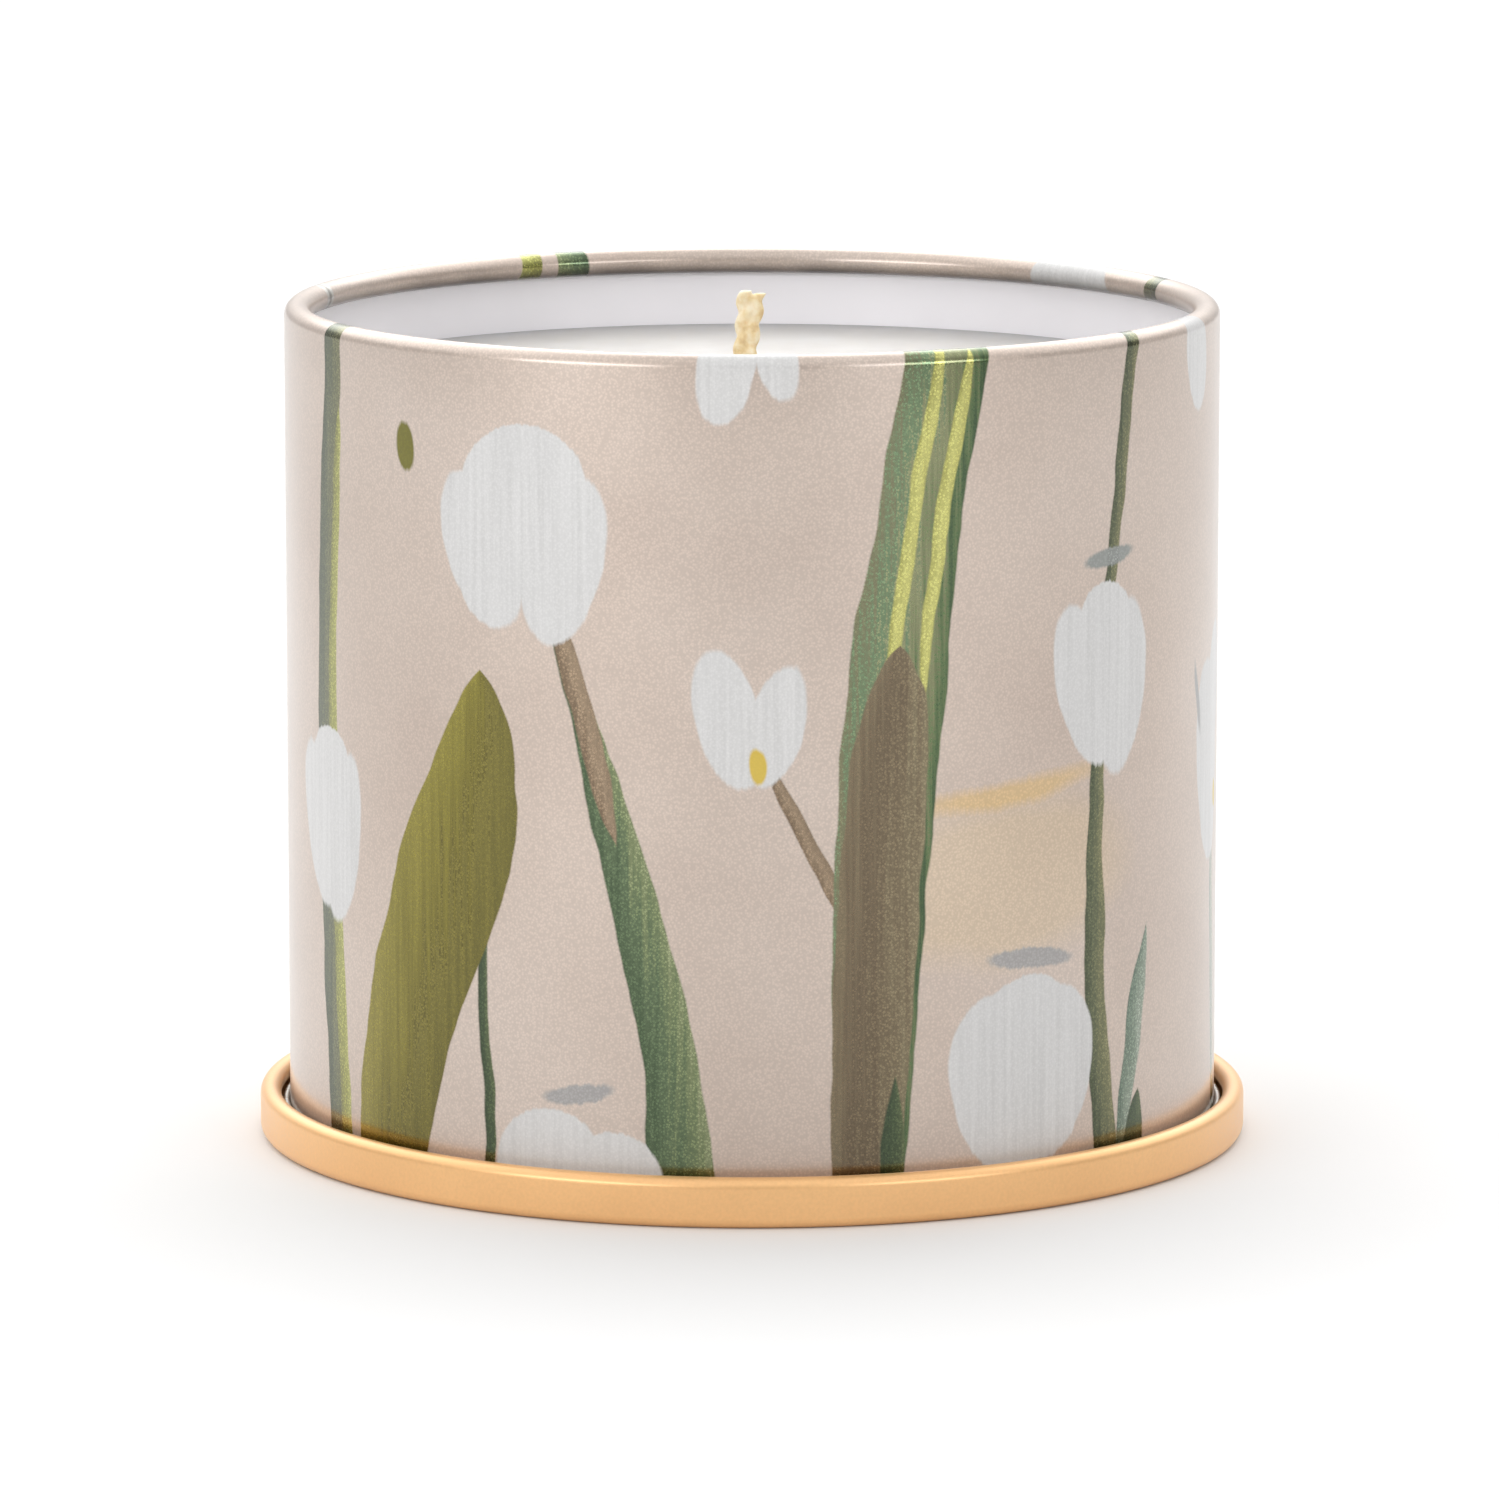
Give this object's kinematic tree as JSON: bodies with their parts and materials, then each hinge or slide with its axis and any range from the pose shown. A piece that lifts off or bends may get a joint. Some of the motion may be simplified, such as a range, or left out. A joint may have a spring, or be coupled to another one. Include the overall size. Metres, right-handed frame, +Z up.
{
  "type": "candle tin",
  "caption": "Container candle: wax with one upright wick in a printed tinplate tin, standing in its upturned slip lid.",
  "frame": {"origin": "centre of the foot of the upturned lid, on the surface that the part stands on", "axes": "+Z up along the axis of the tin, -Y towards the printed front, +X to the right seen from the front"},
  "size_m": [0.0946, 0.0946, 0.081],
  "materials": {
    "lid_lacquered_tinplate": "satin",
    "printed_tinplate": "satin",
    "white_inner_lacquer": "gloss",
    "bare_tinplate": "satin",
    "sealing_compound": "matte",
    "candle_wax": "satin",
    "waxed_cotton_wick": "matte",
    "wick_tab_steel": "satin",
    "adhesive_foam": "matte",
    "label_paper": "matte"
  },
  "bodies": {
    "lid_tray": {"lid": "lid_lacquered_tinplate"},
    "candle": {"tin_body": "printed_tinplate", "base_end": "bare_tinplate", "seam_compound": "sealing_compound", "wax_fill": "candle_wax", "wick": "waxed_cotton_wick", "wick_tab": "wick_tab_steel", "wick_sticker": "adhesive_foam", "base_label": "label_paper"}
  },
  "joints": [
    {"name": "lift_out", "type": "slide", "parent": "lid_tray", "child": "candle", "axis": [0, 0, 1], "range_m": [0, 0.08]}
  ]
}
